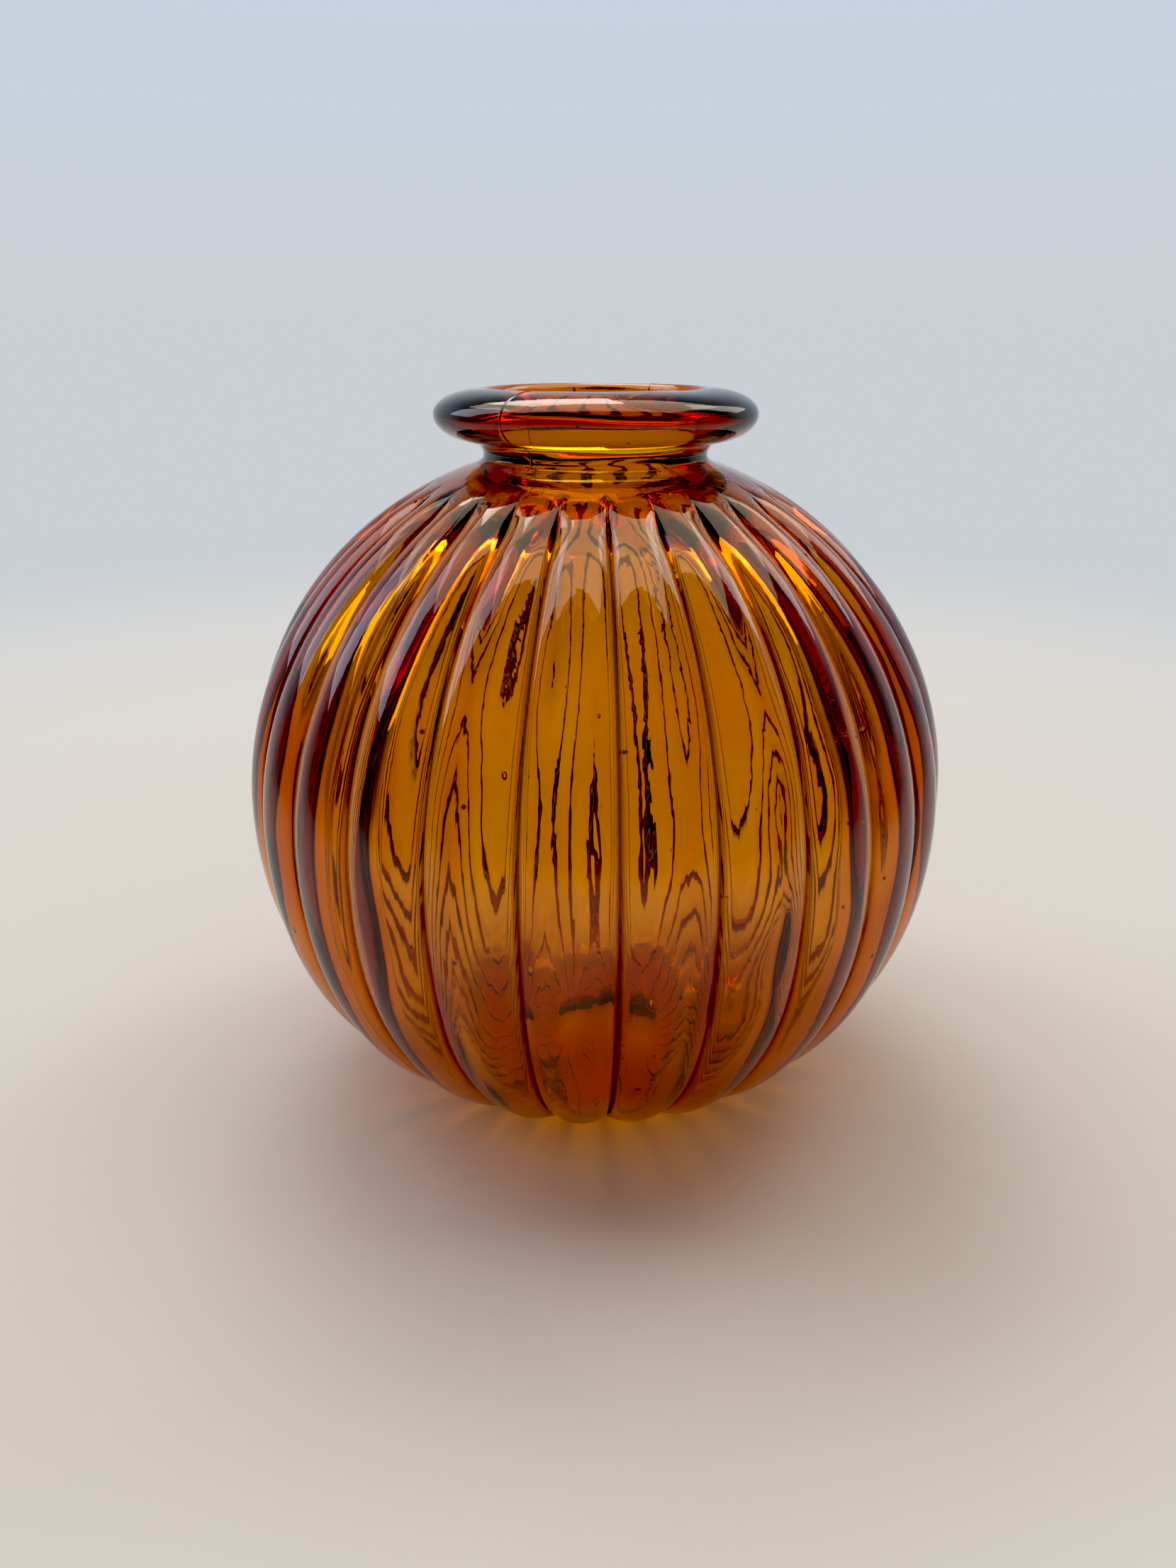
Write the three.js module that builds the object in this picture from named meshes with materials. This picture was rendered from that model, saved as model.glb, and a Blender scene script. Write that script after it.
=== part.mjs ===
// A ribbed ball bud vase, one piece of amber glass blown in a mould. Its meshes are stretches of that one
// piece, kept a hair's gap apart: the base plate shapes the base, the body mould shapes the bowl, in three
// level bands, and the neck, and the neck ring shapes the lip.
// Millimetres, +Z up. The origin is the centre of the standing ring, on the surface that the vase stands on.
import * as THREE from "three";

// ---- Driving dimensions ----
const HEIGHT = 90; // from the standing ring to the crest of the lip

// The ball, measured over the crests of its ribs. Above its widest level it is half an ellipse.
// Below, it is a slightly squarer curve: a super-ellipse of this power.
const BALL_RADIUS = 44.2;
const WIDEST_LEVEL = 40.7;
const UPPER_RISE = 43.2;
const LOWER_DROP = 43.4;
const LOWER_POWER = 2.15;

// The ribs: convex lobes that run from the shoulder to the foot, with a sharp groove between each two.
const RIB_COUNT = 26;
const RIB_DEPTH = 1.1;
const FIRST_GROOVE_DEG = 3.1; // turned from the front, -Y, towards +X
const RIB_FADE_ABOVE = { none: 20, full: 27 }; // radii between which the grooves run out at the shoulder
const RIB_FADE_BELOW = { none: 15, full: 30 }; // and at the foot

// The foot: a flat ring to stand on, with a shallow hollow inside it, and the glass floor over it.
const STANDING_RING = { inner: 11, outer: 15 };
const FOOT_HOLLOW = 1.6;
const HEEL_LEVEL = 1.2; // where the ball's curve turns over on to the standing ring
const FLOOR_LEVEL = 3.4; // inside, at the middle of the floor

// The levels at which one stretch of the ball ends and the next begins.
const BASE_TOP = 9;
const LOWER_BOWL_TOP = 32;
const MIDDLE_BOWL_TOP = 61.5;

// The blown wall and the bore.
const WALL = 3;
const INNER_FLOOR_RADIUS = 16;
const BORE_RADIUS = 10.8;

// The neck, and the lip ring over it, fuller above its widest level than below.
const NECK_RADIUS = 14.2;
const NECK_BOTTOM = 81.2;
const LIP_BOTTOM = 83.6;
const LIP_RADIUS = 19.4;
const LIP_WIDEST_LEVEL = 87.1;
const MOUTH_ROUNDING = 2.6; // how far the mouth's rounded edge comes down into the bore

const JOINT_GAP = 0.3; // between neighbouring stretches

// Smoothness of the facets.
const FACETS_PER_RIB = 4;
const RIBBED_FACETS = RIB_COUNT * FACETS_PER_RIB;
const PLAIN_FACETS = 2 * RIB_COUNT;

const SURFACE = { color: 0xb06008, roughness: 0.05, metalness: 0, transparent: true, opacity: 0.6 };

// ---- Outlines, as half sections of radius and height ----
const at = (radius, height) => new THREE.Vector2(radius, height);

// The ball's outside radius at a height, over the crests of the ribs.
function ballRadius(height) {
  if (height > WIDEST_LEVEL) {
    return BALL_RADIUS * Math.sqrt(1 - ((height - WIDEST_LEVEL) / UPPER_RISE) ** 2);
  }
  return BALL_RADIUS * (1 - ((WIDEST_LEVEL - height) / LOWER_DROP) ** LOWER_POWER) ** (1 / LOWER_POWER);
}

// The inside of the blown wall: an ellipse of its own above and below the widest level. Below, it runs into
// the floor of the base, and above, it closes on the bore.
const INNER_RADIUS = BALL_RADIUS - RIB_DEPTH / 2 - WALL;
const INNER_TOP = NECK_BOTTOM - WALL / 2;

function halfHeightFor(edgeRadius, edgeDistance) {
  return edgeDistance / Math.sqrt(1 - (edgeRadius / INNER_RADIUS) ** 2);
}

const INNER_RISE = halfHeightFor(BORE_RADIUS, INNER_TOP - WIDEST_LEVEL);
const INNER_DROP = halfHeightFor(INNER_FLOOR_RADIUS, WIDEST_LEVEL - FLOOR_LEVEL);

function innerRadius(height) {
  const reach = height > WIDEST_LEVEL ? INNER_RISE : INNER_DROP;
  return INNER_RADIUS * Math.sqrt(1 - ((height - WIDEST_LEVEL) / reach) ** 2);
}

// Points up a wall between two heights, closer together where the wall lies flatter.
function wallPoints(radiusAt, from, to, steps) {
  const angle = (height) => Math.asin((height - WIDEST_LEVEL) / (UPPER_RISE + 1));
  const first = angle(from);
  const last = angle(to);
  return Array.from({ length: steps + 1 }, (_, i) => {
    const height = WIDEST_LEVEL + (UPPER_RISE + 1) * Math.sin(first + ((last - first) * i) / steps);
    return at(radiusAt(height), height);
  });
}

function arc(centreRadius, centreHeight, wide, tall, startDeg, endDeg, steps) {
  return Array.from({ length: steps + 1 }, (_, i) => {
    const angle = THREE.MathUtils.degToRad(startDeg + ((endDeg - startDeg) * i) / steps);
    return at(centreRadius + wide * Math.cos(angle), centreHeight + tall * Math.sin(angle));
  });
}

// ---- Solids ----

// How deep the grooves are at a point of the outside: nothing on the flat ring and on the plain shoulder.
function grooveDepth(point) {
  const fade = point.y < WIDEST_LEVEL ? RIB_FADE_BELOW : RIB_FADE_ABOVE;
  return RIB_DEPTH * THREE.MathUtils.smoothstep(point.x, fade.none, fade.full);
}

// A closed outline turned round Z. The turn starts at the first groove, so that grooves fall on facet edges.
function turned(outline, facets) {
  const lathe = new THREE.LatheGeometry(outline, facets, THREE.MathUtils.degToRad(FIRST_GROOVE_DEG));
  return lathe.rotateX(Math.PI / 2);
}

// The outside of a stretch is the first part of its outline. Its grooves are pressed in square to the
// surface, so that each rib's section is a shallow arch between two of them.
function ribbed(outside, rest) {
  const outline = [...outside, ...rest];
  const geometry = turned(outline, RIBBED_FACETS);
  const position = geometry.getAttribute("position");
  const pointsPerTurn = outline.length;
  for (let i = 0; i < position.count; i++) {
    const index = i % pointsPerTurn;
    if (index >= outside.length) continue;
    const facet = Math.floor(i / pointsPerTurn);
    const across = (facet % FACETS_PER_RIB) / FACETS_PER_RIB; // 0 in a groove, 0.5 on a crest
    const sunk = (2 * across - 1) ** 2 * grooveDepth(outside[index]);
    pressIn(position, i, outside, index, sunk);
  }
  // A closed outline repeats its first point at its end, which follows it.
  for (let first = 0; first < position.count; first += pointsPerTurn) {
    const last = first + pointsPerTurn - 1;
    if (outline[0].equals(outline[pointsPerTurn - 1])) {
      position.setXYZ(last, position.getX(first), position.getY(first), position.getZ(first));
    }
  }
  return geometry;
}

// The edges of a stretch are pressed in level, so that neighbouring stretches meet in flat faces.
function pressIn(position, i, outside, index, sunk) {
  if (sunk === 0) return;
  const before = outside[Math.max(index - 1, 0)];
  const after = outside[Math.min(index + 1, outside.length - 1)];
  const along = at(0, 0).subVectors(after, before).normalize();
  const isEdge = index === 0 || index === outside.length - 1;
  const inward = isEdge ? sunk / along.y : sunk * along.y;
  const up = isEdge ? 0 : sunk * along.x;
  const radius = Math.hypot(position.getX(i), position.getY(i));
  const scale = (radius - inward) / radius;
  position.setXYZ(i, position.getX(i) * scale, position.getY(i) * scale, position.getZ(i) + up);
}

// The heel: a curve that leaves the ball's outline smoothly and lies down flat on the standing ring.
function heelCurve() {
  const top = at(ballRadius(HEEL_LEVEL), HEEL_LEVEL);
  const rise = 0.1;
  const slope = (ballRadius(HEEL_LEVEL + rise) - top.x) / rise;
  const corner = at(top.x - top.y * slope, 0);
  return new THREE.QuadraticBezierCurve(at(STANDING_RING.outer, 0), corner, top).getPoints(3);
}

// The foot: up the hollow and the standing ring, round the heel, and back over the inside floor.
function base() {
  const inner = STANDING_RING.inner;
  const hollow = new THREE.CubicBezierCurve(
    at(0, FOOT_HOLLOW),
    at(inner / 2, FOOT_HOLLOW),
    at(inner * 0.7, 0),
    at(inner, 0),
  ).getPoints(4);
  const wall = wallPoints(ballRadius, HEEL_LEVEL, BASE_TOP, 3);
  const floorEdge = FLOOR_LEVEL + 0.8; // the floor runs up to the wall in a short curve
  const inside = wallPoints(innerRadius, floorEdge, BASE_TOP, 2).reverse();
  const floor = [at(INNER_FLOOR_RADIUS * 0.7, FLOOR_LEVEL + 0.15), at(0, FLOOR_LEVEL)];
  return ribbed([...hollow, ...heelCurve(), ...wall.slice(1)], [...inside, ...floor]);
}

// A level band of the ribbed wall, from one height to another. The band under the neck closes on the bore.
function wallBand(from, to, outsideSteps, insideSteps) {
  const outside = wallPoints(ballRadius, from, to, outsideSteps);
  const inside = wallPoints(innerRadius, from, Math.min(to, INNER_TOP), insideSteps).reverse();
  const bore = to > INNER_TOP ? [at(BORE_RADIUS, to)] : [];
  return ribbed(outside, [...bore, ...inside, outside[0].clone()]);
}

// The short waisted tube between the shoulder and the lip, with a small fillet at its root.
function neck() {
  const bottom = NECK_BOTTOM + JOINT_GAP;
  const fillet = arc(NECK_RADIUS + 0.9, bottom + 0.9, 0.9, 0.9, 270, 180, 3);
  const top = LIP_BOTTOM;
  return turned(
    [at(BORE_RADIUS, bottom), ...fillet, at(NECK_RADIUS, top), at(BORE_RADIUS, top), at(BORE_RADIUS, bottom)],
    PLAIN_FACETS,
  );
}

// The thick lip: flat where it meets the neck, a full round outside, and a rounded edge down into the bore.
function lipRing() {
  const bottom = LIP_BOTTOM + JOINT_GAP;
  const reach = LIP_RADIUS - NECK_RADIUS;
  const rise = HEIGHT - LIP_WIDEST_LEVEL;
  const below = arc(NECK_RADIUS, LIP_WIDEST_LEVEL, reach, LIP_WIDEST_LEVEL - bottom, -90, 0, 5);
  const above = arc(NECK_RADIUS, LIP_WIDEST_LEVEL, reach, rise, 0, 90, 5);
  const mouthWidth = NECK_RADIUS - BORE_RADIUS;
  const mouth = arc(NECK_RADIUS, HEIGHT - MOUTH_ROUNDING, mouthWidth, MOUTH_ROUNDING, 90, 180, 4);
  const start = at(BORE_RADIUS, bottom);
  return turned([start, ...below, ...above.slice(1), ...mouth.slice(1), start.clone()], PLAIN_FACETS);
}

// ---- The vase ----
function piece(name, geometry) {
  const mesh = new THREE.Mesh(geometry, new THREE.MeshStandardMaterial(SURFACE));
  mesh.name = name;
  return mesh;
}

const vase = new THREE.Group();
vase.add(piece("base", base()));
vase.add(piece("lower_bowl", wallBand(BASE_TOP + JOINT_GAP, LOWER_BOWL_TOP, 4, 3)));
vase.add(piece("middle_bowl", wallBand(LOWER_BOWL_TOP + JOINT_GAP, MIDDLE_BOWL_TOP, 4, 3)));
vase.add(piece("shoulder", wallBand(MIDDLE_BOWL_TOP + JOINT_GAP, NECK_BOTTOM, 7, 4)));
vase.add(piece("neck", neck()));
vase.add(piece("lip_ring", lipRing()));

export default vase;
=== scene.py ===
import math

import bpy
import numpy as np
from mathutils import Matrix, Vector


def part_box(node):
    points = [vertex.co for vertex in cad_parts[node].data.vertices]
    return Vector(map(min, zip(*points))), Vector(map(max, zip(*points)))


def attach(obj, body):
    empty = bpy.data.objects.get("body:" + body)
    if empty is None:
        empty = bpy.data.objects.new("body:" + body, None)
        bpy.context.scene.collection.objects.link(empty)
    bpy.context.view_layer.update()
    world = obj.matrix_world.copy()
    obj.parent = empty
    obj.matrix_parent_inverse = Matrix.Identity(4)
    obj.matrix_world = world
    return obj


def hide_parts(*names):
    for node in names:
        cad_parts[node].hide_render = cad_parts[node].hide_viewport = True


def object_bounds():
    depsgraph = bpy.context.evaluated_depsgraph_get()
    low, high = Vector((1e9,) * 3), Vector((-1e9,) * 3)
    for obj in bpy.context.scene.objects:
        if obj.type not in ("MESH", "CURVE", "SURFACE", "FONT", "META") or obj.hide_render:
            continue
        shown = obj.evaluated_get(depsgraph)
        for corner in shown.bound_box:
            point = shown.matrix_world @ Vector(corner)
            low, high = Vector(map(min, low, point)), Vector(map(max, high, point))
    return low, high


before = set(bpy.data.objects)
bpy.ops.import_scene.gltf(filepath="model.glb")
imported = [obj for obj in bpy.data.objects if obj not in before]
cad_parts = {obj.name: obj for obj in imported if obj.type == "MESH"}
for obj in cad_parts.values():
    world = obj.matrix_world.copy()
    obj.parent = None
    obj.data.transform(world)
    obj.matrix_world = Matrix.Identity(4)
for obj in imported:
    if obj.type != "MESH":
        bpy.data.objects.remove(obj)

cad_low, cad_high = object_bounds()
MM = 0.001


# The vase
# One piece of amber soda-lime glass, blown in a ribbed mould: a ball with 26 convex ribs, a short waisted
# neck, a thick round lip, and a flat ring to stand on. The skin that met the mould is smooth and crisp, and
# the blown inside is smooth but uneven.
HEIGHT = cad_high.z - cad_low.z
BALL_RADIUS = (cad_high.x - cad_low.x) / 2
WIDEST_LEVEL = 0.4522 * HEIGHT
UPPER_RISE = 0.48 * HEIGHT
LOWER_DROP = 0.4822 * HEIGHT
LOWER_POWER = 2.15  # of the super-ellipse under the widest level, a little squarer than an ellipse

RIB_COUNT = 26
RIB_DEPTH = 1.15 * MM
FIRST_GROOVE = math.radians(3.1)  # from the front, -Y, towards +X
CREASE_DEPTH = 0.55 * MM  # a narrow crease along the bottom of each groove, left by the mould's sharp edge
CREASE_SHARE = 0.024  # its half width, as a share of a rib
CREASE_START, CREASE_FULL = 14 * MM, 18 * MM  # radii between which it sinks in at the foot
RIBS_START, RIBS_FULL = 19.5 * MM, 25 * MM  # radii between which the grooves sink in at the shoulder
FOOT_START, FOOT_FULL = 15 * MM, 30 * MM  # and between which they come up to full depth from the foot

STANDING_INNER, STANDING_OUTER = 11 * MM, 15 * MM
FOOT_HOLLOW = 1.6 * MM
HEEL_LEVEL = 1.2 * MM

NECK_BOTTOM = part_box("neck")[0].z
NECK_RADIUS = 13.5 * MM
LIP_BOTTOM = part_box("lip_ring")[0].z
LIP_RADIUS = (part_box("lip_ring")[1].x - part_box("lip_ring")[0].x) / 2
LIP_WIDEST_LEVEL = HEIGHT - 2.9 * MM
MOUTH_RADIUS = 12 * MM  # the bore is drawn in a little from here
BORE_RADIUS = 9.6 * MM  # to here, at its lower end
MOUTH_ROUNDING = 3.4 * MM

SHOULDER_WALL = 2.8 * MM
MIDDLE_WALL = 3 * MM
HEEL_WALL = 2 * MM
INNER_TOP, INNER_BOTTOM = 82 * MM, 2.2 * MM  # levels of the outside that the blown wall is measured from
BORE_END = 79 * MM  # where the bore opens out into the bowl
FLOOR_LEVEL = 3.2 * MM
INNER_FLOOR_RADIUS = 17 * MM
POLE_RADIUS = 0.4 * MM  # of the smallest ring of the mesh, round the middle of the foot and of the floor


def arc(centre, wide, tall, start, end, steps):
    """Points on an ellipse round centre, between two angles in degrees."""
    angles = np.radians(np.linspace(start, end, steps + 1))
    return [(centre[0] + wide * math.cos(a), centre[1] + tall * math.sin(a)) for a in angles]


def bezier(points, steps):
    """Points along a quadratic or cubic curve."""
    power = len(points) - 1
    t = np.linspace(0, 1, steps + 1)[:, None]
    weights = [math.comb(power, k) * t**k * (1 - t) ** (power - k) for k in range(power + 1)]
    return [tuple(p) for p in sum(w * np.array(q) for w, q in zip(weights, points))]


def ball_radius(height):
    """The ball's outside radius over the crests of its ribs."""
    if height > WIDEST_LEVEL:
        return BALL_RADIUS * math.sqrt(1 - ((height - WIDEST_LEVEL) / UPPER_RISE) ** 2)
    share = ((WIDEST_LEVEL - height) / LOWER_DROP) ** LOWER_POWER
    return BALL_RADIUS * (1 - share) ** (1 / LOWER_POWER)


def ball_normal(height):
    """The outward direction at a height of the ball, as radius and height."""
    step = 0.01 * MM
    slope = (ball_radius(height + step) - ball_radius(height - step)) / (2 * step)
    return 1 / math.hypot(1, slope), -slope / math.hypot(1, slope)


def inner_point(height):
    """The point of the inside that faces the outside at a height, a wall's thickness away from it."""
    end, share = (INNER_TOP, SHOULDER_WALL) if height > WIDEST_LEVEL else (HEEL_LEVEL, HEEL_WALL)
    t = ((height - WIDEST_LEVEL) / (end - WIDEST_LEVEL)) ** 2
    wall = RIB_DEPTH / 2 + MIDDLE_WALL + (share - MIDDLE_WALL) * t
    across, up = ball_normal(height)
    return ball_radius(height) - across * wall, height - up * wall


def levels(start, end, steps):
    """Heights up the ball, closer together where its wall lies flatter."""
    reach = UPPER_RISE + MM
    angles = np.linspace(*(math.asin((h - WIDEST_LEVEL) / reach) for h in (start, end)), steps + 1)
    return [WIDEST_LEVEL + reach * math.sin(a) for a in angles]


def outside_outline():
    """From the middle of the foot up over the ball, the neck and the lip, to the start of the bore."""
    middle, edge = (POLE_RADIUS, FOOT_HOLLOW), (STANDING_INNER, 0)
    hollow = bezier([middle, (STANDING_INNER / 2, FOOT_HOLLOW), (STANDING_INNER * 0.7, 0), edge], 7)
    top = (ball_radius(HEEL_LEVEL), HEEL_LEVEL)
    slope = (ball_radius(HEEL_LEVEL * 1.1) - top[0]) / (HEEL_LEVEL * 0.1)
    heel = bezier([(STANDING_OUTER, 0), (top[0] - HEEL_LEVEL * slope, 0), top], 6)
    ball = [(ball_radius(h), h) for h in levels(HEEL_LEVEL, NECK_BOTTOM - 0.4 * MM, 80)]
    root = ball[-1]
    neck = bezier([root, (NECK_RADIUS, root[1] + 0.5 * MM), (NECK_RADIUS, root[1] + 1.3 * MM)], 6)
    under = (NECK_RADIUS, LIP_BOTTOM - 0.3 * MM)
    crotch = bezier([neck[-1], under, (NECK_RADIUS + 1.6 * MM, LIP_BOTTOM + 0.25 * MM)], 6)
    reach, drop = LIP_RADIUS - NECK_RADIUS, LIP_WIDEST_LEVEL - LIP_BOTTOM
    lower_lip = arc((NECK_RADIUS, LIP_WIDEST_LEVEL), reach, drop, -70, 0, 12)
    upper_lip = arc((NECK_RADIUS, LIP_WIDEST_LEVEL), reach, HEIGHT - LIP_WIDEST_LEVEL, 0, 90, 14)
    mouth_width = NECK_RADIUS - MOUTH_RADIUS
    mouth = arc((NECK_RADIUS, HEIGHT - MOUTH_ROUNDING), mouth_width, MOUTH_ROUNDING, 90, 180, 10)
    return hollow + heel[1:] + ball[1:] + neck[1:] + crotch[1:] + lower_lip + upper_lip[1:] + mouth[1:]


def inside_outline():
    """Down the bore, round the shoulder and the wall, and over the floor to its middle."""
    start = (MOUTH_RADIUS, HEIGHT - MOUTH_ROUNDING)
    wall = [inner_point(h) for h in levels(INNER_TOP, INNER_BOTTOM, 54)]
    low, high = FLOOR_LEVEL + 0.6 * MM, BORE_END - MM
    wall = [(r, z) for r, z in wall if r > BORE_RADIUS + 2 * MM and low < z < high]
    bore_end = (BORE_RADIUS, BORE_END + 1.5 * MM)
    drawn_in = (MOUTH_RADIUS, start[1] - 2.4 * MM), (BORE_RADIUS, bore_end[1] + 2.4 * MM)
    bore = bezier([start, *drawn_in, bore_end], 16)
    turn = bezier([bore_end, (BORE_RADIUS, BORE_END), wall[0]], 7)
    floor = bezier([wall[-1], (INNER_FLOOR_RADIUS, FLOOR_LEVEL), (POLE_RADIUS, FLOOR_LEVEL)], 12)
    return bore[1:] + turn[1:] + wall[1:] + floor[1:]


def smooth(value, low, high):
    """0 below low, 1 above high, and a soft step between them."""
    t = np.clip((value - low) / (high - low), 0, 1)
    return t * t * (3 - 2 * t)


# Two seams where the halves of the body mould met, and two more from the neck ring, which sat a little
# turned.
BODY_SEAM = math.radians(-41)
NECK_SEAM = math.radians(-32.5)
SEAM_HEIGHT = 0.09 * MM
SEAM_WIDTH = math.radians(0.35)
SEAM_WANDER = math.radians(0.12)

# How uneven the surfaces are, to either side of their middle.
BROAD = 0.4 * MM  # slow changes of the wall's thickness, inside
FINE = 0.24 * MM  # narrower upright folds, inside
RINGS = 0.28 * MM  # level rings in the bore
FOLLOW = 0.55 * MM  # how far the inside follows the ribs
SKIN = 0.06 * MM  # the outside, which met the mould and was fire-polished

# Where the mesh's upright lines lie across a rib, from groove to groove: close together at the crease.
RIB_COLUMNS = [0, 0.012, 0.026, 0.05, 0.1, 0.18, 0.28, 0.39, 0.5, 0.61, 0.72, 0.82, 0.9, 0.95, 0.974, 0.988]


def columns():
    """The azimuths of the mesh's upright lines: the same across each rib, and a few more at each seam."""
    turns = (np.arange(RIB_COUNT)[:, None] + np.array(RIB_COLUMNS)).ravel()
    even = FIRST_GROOVE + turns * 2 * math.pi / RIB_COUNT
    seams = [s + half for s in (BODY_SEAM, NECK_SEAM) for half in (0, math.pi)]
    extra = np.array([s + k * SEAM_WIDTH for s in seams for k in (-2, -1, 0, 1, 2)])
    full = 2 * math.pi
    away = np.min(np.abs((even[:, None] - extra + math.pi) % full - math.pi), axis=1)
    return np.sort(np.concatenate([even[away > SEAM_WIDTH], extra]) % full)


def waves(rng, count, around, up, height):
    """Smooth unevenness that closes on itself: count waves, each with up to around crests in one turn."""
    turns = rng.integers(1, around + 1, count)
    rises = rng.uniform(-2 * math.pi / up, 2 * math.pi / up, count)
    phases = rng.uniform(0, 2 * math.pi, count)
    sizes = rng.uniform(0.4, 1, count) * height / math.sqrt(count)
    parts = list(zip(turns, rises, phases, sizes))
    return lambda a, z: sum(size * np.sin(turn * a + rise * z + phase) for turn, rise, phase, size in parts)


def ridge(azimuth, seam, wander):
    """The height of a seam's thin ridge at an azimuth, and at the one opposite, 1 at its crest."""
    turn = (azimuth - seam - wander + math.pi / 2) % math.pi - math.pi / 2
    return np.clip(1 - np.abs(turn) / SEAM_WIDTH, 0, 1)


# Seeds: tiny bubbles left in the melt, scattered over the front half of the bowl.
SEED_COUNT = 14
SEED_AROUND, SEED_ROWS = 8, 5  # facets round a bubble and from end to end
SEED_TURN = 1.4  # radians to either side of the front within which they lie
SEED_LEVELS = 14 * MM, 70 * MM
SEED_RADII = 0.12 * MM, 0.3 * MM
SEED_STRETCH = 1, 2.2  # length over width


def seed(rng, first):
    """A tiny bubble in the wall, drawn out upwards. It is a void, so its faces look inwards."""
    turn, height = rng.uniform(-SEED_TURN, SEED_TURN), rng.uniform(*SEED_LEVELS)
    size = rng.uniform(*SEED_RADII)
    tall = rng.uniform(*SEED_STRETCH)
    out, up = ball_normal(height)
    radius = ball_radius(height) - out * (MIDDLE_WALL / 2 + RIB_DEPTH / 2)
    centre = np.array([radius * math.sin(turn), -radius * math.cos(turn), height - up * MIDDLE_WALL / 2])
    rows = [(math.sin(a), math.cos(a)) for a in np.linspace(0, math.pi, SEED_ROWS + 1)[1:-1]]
    turns = np.linspace(0, 2 * math.pi, SEED_AROUND, endpoint=False)
    points = [(w * math.cos(t), w * math.sin(t), h * tall) for w, h in rows for t in turns]
    points += [(0, 0, tall), (0, 0, -tall)]
    n, top = SEED_AROUND, first + SEED_AROUND * len(rows)
    faces = [(first + (k + 1) % n, first + k, top) for k in range(n)]
    last = top - n
    faces += [(last + k, last + (k + 1) % n, top + 1) for k in range(n)]
    for row in range(len(rows) - 1):
        a, b = first + row * n, first + (row + 1) * n
        faces += [(a + k, a + (k + 1) % n, b + (k + 1) % n, b + k) for k in range(n)]
    return [tuple(centre + size * np.array(p)) for p in points], faces


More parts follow.
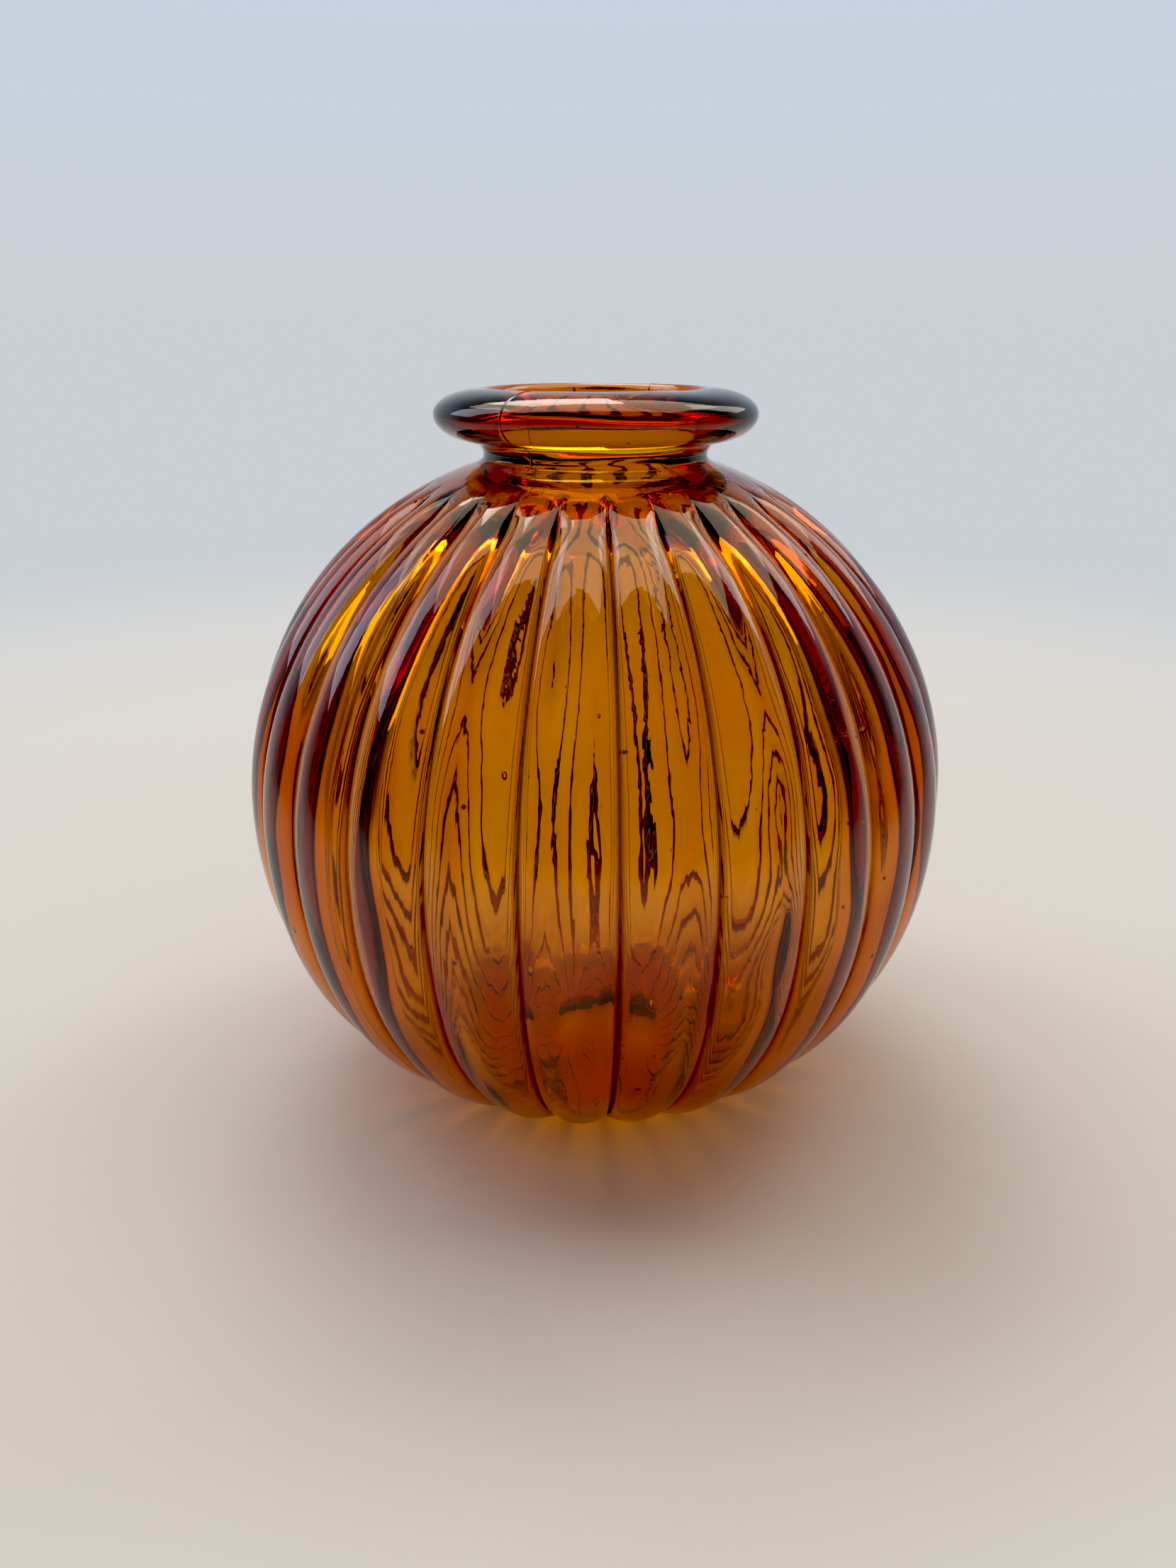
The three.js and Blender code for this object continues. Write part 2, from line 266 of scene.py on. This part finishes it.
def vase_mesh():
    rng = np.random.default_rng(26)
    outside, inside = outside_outline(), inside_outline()
    outline = np.array(outside + inside)
    is_outside = np.arange(len(outline)) < len(outside)
    along = np.gradient(outline, axis=0)
    along /= np.linalg.norm(along, axis=1)[:, None]
    radius, height = outline[:, :1], outline[:, 1:]
    normal_r, normal_z = along[:, 1:], -along[:, :1]
    azimuth = columns()[None, :]

    lower = height < WIDEST_LEVEL
    fade = np.where(lower, smooth(radius, FOOT_START, FOOT_FULL), smooth(radius, RIBS_START, RIBS_FULL))
    on_ball = is_outside[:, None] & (height < NECK_BOTTOM)
    across = ((azimuth - FIRST_GROOVE) * RIB_COUNT / (2 * math.pi)) % 1
    from_groove = np.minimum(across, 1 - across)
    crease_fade = np.where(lower, smooth(radius, CREASE_START, CREASE_FULL), fade)
    crease = crease_fade * CREASE_DEPTH * np.exp(-((from_groove / CREASE_SHARE) ** 2))
    sunk = on_ball * (fade * RIB_DEPTH * (2 * across - 1) ** 2 + crease)

    # The blown wall is nearly as thick all round, so the inside follows the ribs in soft waves. It is uneven
    # where the glass was thicker or cooler, and the bore has level rings.
    on_wall = ~is_outside[:, None] & (height < BORE_END - MM)
    inside_fade = on_wall * smooth(radius, INNER_FLOOR_RADIUS, INNER_FLOOR_RADIUS + 8 * MM)
    broad = waves(rng, 16, 7, 40 * MM, BROAD)(azimuth, height)
    fine = waves(rng, 24, 22, 14 * MM, FINE)(azimuth, height)
    inside_ribs = FOLLOW * fade * np.cos(2 * math.pi * across)
    in_bore = ~is_outside[:, None] * smooth(height, BORE_END - 2 * MM, BORE_END)
    in_bore = in_bore * (height < HEIGHT - MOUTH_ROUNDING)
    bore_rings = waves(rng, 16, 4, 2.6 * MM, RINGS)(azimuth, height)
    uneven = inside_fade * (inside_ribs + broad + fine) + in_bore * bore_rings

    # The outside is truer than the inside, but not perfect. The seams wander a little on their way up.
    skin = waves(rng, 14, 9, 30 * MM, SKIN)(azimuth, height) * is_outside[:, None]
    skin *= smooth(height, 0.2 * MM, 4 * MM)
    wander = waves(rng, 5, 1, 9 * MM, SEAM_WANDER)(0 * azimuth, height)
    seam = SEAM_HEIGHT * np.where(
        height < NECK_BOTTOM,
        ridge(azimuth, BODY_SEAM, wander) * smooth(radius, FOOT_START, FOOT_FULL),
        ridge(azimuth, NECK_SEAM, 0 * wander),
    )
    out = (seam + skin) * is_outside[:, None] - sunk + uneven
    r = radius + normal_r * out
    z = height + normal_z * out
    points = np.stack([r * np.sin(azimuth), -r * np.cos(azimuth), z + 0 * azimuth], axis=-1)

    rings, steps = points.shape[:2]
    poles = [(0, 0, FOOT_HOLLOW), (0, 0, FLOOR_LEVEL)]
    vertices = [*map(tuple, points.reshape(-1, 3)), *poles]
    faces = []
    for ring in range(rings - 1):
        low, high = ring * steps, (ring + 1) * steps
        faces += [(low + k, low + (k + 1) % steps, high + (k + 1) % steps, high + k) for k in range(steps)]
    first, last = rings * steps, rings * steps + 1
    top = (rings - 1) * steps
    faces += [(first, (k + 1) % steps, k) for k in range(steps)]
    faces += [(last, top + k, top + (k + 1) % steps) for k in range(steps)]
    # Painted shade as a dark film along the creases. The bubbles come last, and carry none of it.
    crease_shade_and_specks = np.zeros(len(vertices))
    crease_shade_and_specks[: rings * steps] = (is_outside[:, None] * (crease / CREASE_DEPTH) * on_ball).ravel()
    for _ in range(SEED_COUNT):
        more_vertices, more_faces = seed(rng, len(vertices))
        vertices += more_vertices
        faces += more_faces
    mesh = bpy.data.meshes.new("vase")
    mesh.from_pydata(vertices, [], faces)
    mesh.polygons.foreach_set("use_smooth", [True] * len(mesh.polygons))
    crease_shade = mesh.attributes.new("crease_shade_and_specks", "FLOAT", "POINT")
    crease_shade.data.foreach_set("value", [*crease_shade_and_specks, *[0] * (len(vertices) - len(crease_shade_and_specks))])
    mesh.update()
    return mesh


def srgb(code):
    """A linear colour from an sRGB hex code."""
    parts = [int(code[i : i + 2], 16) / 255 for i in (1, 3, 5)]
    return (*[p / 12.92 if p <= 0.04045 else ((p + 0.055) / 1.055) ** 2.4 for p in parts], 1)


def add(tree, kind, links=(), **settings):
    """Adds a shader node. Its settings are inputs or properties, and links are pairs of input and socket."""
    node = tree.nodes.new(kind)
    for name, value in settings.items():
        key = name.replace("_", " ")
        if hasattr(node, name):
            setattr(node, name, value)
        else:
            node.inputs[key].default_value = value
    for key, socket in links:
        tree.links.new(node.inputs[key], socket)
    return node


CORD_WIDTH, CORD_LENGTH = 1.6667 * MM, 14.286 * MM
CORD_RELIEF = 0.02 * MM
SPECK_SPACING = 7.6923 * MM
SPECK_EDGE, SPECK_CORE = 0.3231 * MM, 0.2308 * MM  # radii between which a speck fades out
SHADE_AND_SPECK_COVER = 0.8  # how much of the glass the painted crease shade and the specks hide
# The second colour paints shade into the creases, and is also the colour of the specks.
AMBER, SHADE_AND_SPECK_BROWN = "#F7E159", "#3E1C06"
AMBER_DEPTH = 1000.0  # how strongly a metre of the glass absorbs what its colour leaves out


# Amber soda-lime glass, fire-polished. It is clear and bright where thin and goes through orange to dark red
# brown where the light has a long way through it, because it stops blue at once and green little by little.
def amber_glass():
    material = bpy.data.materials.new("amber_glass")
    material.use_nodes = True
    tree = material.node_tree
    tree.nodes.clear()
    place = add(tree, "ShaderNodeTexCoord").outputs["Object"]
    # Cords in the glass: upright streaks, where the melt was mixed less well.
    cord_scale = (1 / CORD_WIDTH, 1 / CORD_WIDTH, 1 / CORD_LENGTH)
    drawn = add(tree, "ShaderNodeMapping", [("Vector", place)], Scale=cord_scale)
    cords = add(tree, "ShaderNodeTexNoise", [("Vector", drawn.outputs[0])], Scale=1.0, Detail=2.0)
    relief = [("Height", cords.outputs["Fac"])]
    bump = add(tree, "ShaderNodeBump", relief, Strength=1.0, Distance=CORD_RELIEF)
    shine = add(
        tree,
        "ShaderNodeBsdfPrincipled",
        [("Normal", bump.outputs[0])],
        Base_Color=(1, 1, 1, 1),
        Roughness=0.0,
        IOR=1.52,
        Transmission_Weight=1.0,
    )
    # Painted shade as a brown film along the groove bottoms, and a few real brown specks up to 0.6 mm
    # across.
    crease_shade = add(tree, "ShaderNodeAttribute", attribute_name="crease_shade_and_specks")
    cells = add(tree, "ShaderNodeTexVoronoi", [("Vector", place)], Scale=1 / SPECK_SPACING)
    specks = add(
        tree,
        "ShaderNodeMapRange",
        [("Value", cells.outputs["Distance"])],
        From_Min=SPECK_EDGE / SPECK_SPACING,
        From_Max=SPECK_CORE / SPECK_SPACING,
    )
    both = [(0, crease_shade.outputs["Fac"]), (1, specks.outputs[0])]
    crease_shade_and_specks = add(tree, "ShaderNodeMath", both, operation="MAXIMUM")
    share = add(tree, "ShaderNodeMath", [(0, crease_shade_and_specks.outputs[0])], operation="MULTIPLY")
    share.inputs[1].default_value = SHADE_AND_SPECK_COVER
    shade_and_speck_paint = add(tree, "ShaderNodeBsdfDiffuse", Color=srgb(SHADE_AND_SPECK_BROWN), Roughness=0.5)
    layers = [("Fac", share.outputs[0]), (1, shine.outputs[0]), (2, shade_and_speck_paint.outputs[0])]
    surface = add(tree, "ShaderNodeMixShader", layers)
    depth = add(tree, "ShaderNodeVolumeAbsorption", Color=srgb(AMBER), Density=AMBER_DEPTH)
    add(tree, "ShaderNodeOutputMaterial", [("Surface", surface.outputs[0]), ("Volume", depth.outputs[0])])
    return material


vase = bpy.data.objects.new("vase_glass", vase_mesh())
bpy.context.scene.collection.objects.link(vase)
vase.data.materials.append(amber_glass())
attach(vase, "root")
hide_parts("base", "lower_bowl", "middle_bowl", "shoulder", "neck", "lip_ring")


# The floor
# A large pale sheet of matt uncoated paper, laid flat under the vase.
# It fades out into the backdrop so that no horizon shows.
FLOOR_REACH = 2.0
FLOOR_DROP = 0.02 * MM  # it lies this far under the standing ring
FADE_START, FADE_END = 0.12, 0.45
PAPER = "#D4D8DB"


def paper():
    material = bpy.data.materials.new("matt_paper")
    material.use_nodes = True
    tree = material.node_tree
    tree.nodes.clear()
    place = add(tree, "ShaderNodeTexCoord").outputs["Object"]
    away = add(tree, "ShaderNodeVectorMath", [("Vector", place)], operation="LENGTH")
    distance = [("Value", away.outputs["Value"])]
    fade = add(tree, "ShaderNodeMapRange", distance, From_Min=FADE_START, From_Max=FADE_END)
    fade.interpolation_type = "SMOOTHSTEP"
    matt = add(tree, "ShaderNodeBsdfDiffuse", Color=srgb(PAPER), Roughness=0.5)
    clear = add(tree, "ShaderNodeBsdfTransparent")
    layers = [("Fac", fade.outputs[0]), (1, matt.outputs[0]), (2, clear.outputs[0])]
    mix = add(tree, "ShaderNodeMixShader", layers)
    add(tree, "ShaderNodeOutputMaterial", [("Surface", mix.outputs[0])])
    return material


floor_mesh = bpy.data.meshes.new("floor")
corners = [(-1, -1), (1, -1), (1, 1), (-1, 1)]
corners = [(x * FLOOR_REACH, y * FLOOR_REACH, -FLOOR_DROP) for x, y in corners]
floor_mesh.from_pydata(corners, [], [(0, 1, 2, 3)])
floor = bpy.data.objects.new("floor", floor_mesh)
bpy.context.scene.collection.objects.link(floor)
floor.data.materials.append(paper())


# The light
# A pale backdrop behind the vase and a dimmer room on the side of the viewer. Most of the light comes from a
# big soft panel overhead, and the rest from three soft windows, to the left, to the right and behind.
HORIZON, SKY = "#CBD0D5", "#C8D3E2"
ROOM, ROOM_BELOW, CEILING = "#605D5C", "#928674", "#8A8C90"
START, END = 6, 7  # the two colour inputs of a Mix node


def backdrop():
    world = bpy.data.worlds.new("studio")
    world.use_nodes = True
    tree = world.node_tree
    tree.nodes.clear()
    way = add(tree, "ShaderNodeTexCoord").outputs["Generated"]
    parts = add(tree, "ShaderNodeSeparateXYZ", [("Vector", way)])
    rise = add(tree, "ShaderNodeMapRange", [("Value", parts.outputs["Z"])], From_Min=-0.02, From_Max=0.3)
    down = add(tree, "ShaderNodeMapRange", [("Value", parts.outputs["Z"])], From_Min=0.1, From_Max=-0.2)
    near = add(tree, "ShaderNodeMapRange", [("Value", parts.outputs["Y"])], From_Min=0.6, From_Max=0.0)
    high = add(tree, "ShaderNodeMapRange", [("Value", parts.outputs["Z"])], From_Min=0.3, From_Max=0.7)
    for change in (rise, down, near, high):
        change.interpolation_type = "SMOOTHSTEP"
    pale = add(tree, "ShaderNodeMix", [("Factor", rise.outputs[0])], data_type="RGBA")
    pale.inputs[START].default_value = srgb(HORIZON)
    pale.inputs[END].default_value = srgb(SKY)
    dim = add(tree, "ShaderNodeMix", [("Factor", down.outputs[0])], data_type="RGBA")
    dim.inputs[START].default_value = srgb(ROOM)
    dim.inputs[END].default_value = srgb(ROOM_BELOW)
    room = add(tree, "ShaderNodeMix", [("Factor", near.outputs[0])], data_type="RGBA")
    tree.links.new(room.inputs[START], pale.outputs[2])
    tree.links.new(room.inputs[END], dim.outputs[2])
    ceiling = add(tree, "ShaderNodeMix", [("Factor", high.outputs[0])], data_type="RGBA")
    tree.links.new(ceiling.inputs[START], room.outputs[2])
    ceiling.inputs[END].default_value = srgb(CEILING)
    shade = add(tree, "ShaderNodeBackground", [("Color", ceiling.outputs[2])], Strength=1.0)
    add(tree, "ShaderNodeOutputWorld", [("Surface", shade.outputs[0])])
    return world


def soft_light(name, place, size, brightness, colour):
    """A rectangular light that faces the vase. Its brightness is its radiance, where white paper has 1."""
    lamp = bpy.data.lights.new(name, "AREA")
    lamp.shape = "RECTANGLE"
    lamp.size, lamp.size_y = size
    lamp.energy = math.pi * size[0] * size[1] * brightness
    lamp.color = srgb(colour)[:3]
    holder = bpy.data.objects.new(name, lamp)
    bpy.context.scene.collection.objects.link(holder)
    holder.location = place
    way = np.array([0, 0, HEIGHT / 2]) - np.array(place)
    tilt = math.acos(-way[2] / np.linalg.norm(way))
    holder.rotation_euler = (tilt, 0, math.atan2(way[1], way[0]) - math.pi / 2)


bpy.context.scene.world = backdrop()
soft_light("overhead", (0, 0.35, 1.3), (2.0, 1.2), 2.4, "#FFE8CC")
soft_light("left_window", (-0.9, 0.3, 0.7), (0.5, 0.9), 2.4, "#E6EDFF")
soft_light("right_window", (0.8, 0.6, 0.8), (0.4, 0.7), 2.2, "#FFF6EA")
soft_light("back_window", (-0.2, 0.7, 1.1), (0.6, 0.5), 4.5, "#FFFAF2")


# The camera
# It stands close to the vase and looks a little down on it, with a wide lens. The blacks are slightly deeper
# than in the plain view, and light may pass through many surfaces, because each wall of glass has two.
CAMERA_TILT = math.radians(20.71)  # down from level
BLACK_LEVEL = 0.025
GLASS_BOUNCES = 24

camera_data = bpy.data.cameras.new("camera")
camera_data.sensor_width = 36
camera_data.lens = 27.05
camera_data.clip_start = 0.01
camera = bpy.data.objects.new("camera", camera_data)
bpy.context.scene.collection.objects.link(camera)
camera.location = (-0.9 * MM, -147.6 * MM, 95.4 * MM)
camera.rotation_euler = (math.pi / 2 - CAMERA_TILT, 0, 0)
bpy.context.scene.camera = camera

view = bpy.context.scene.view_settings
view.view_transform = "Standard"
view.use_curve_mapping = True
view.curve_mapping.black_level = (BLACK_LEVEL, BLACK_LEVEL, BLACK_LEVEL)
view.curve_mapping.update()
cycles = bpy.context.scene.cycles
cycles.max_bounces = GLASS_BOUNCES
cycles.transmission_bounces = GLASS_BOUNCES
cycles.transparent_max_bounces = GLASS_BOUNCES
cycles.blur_glossy = 0
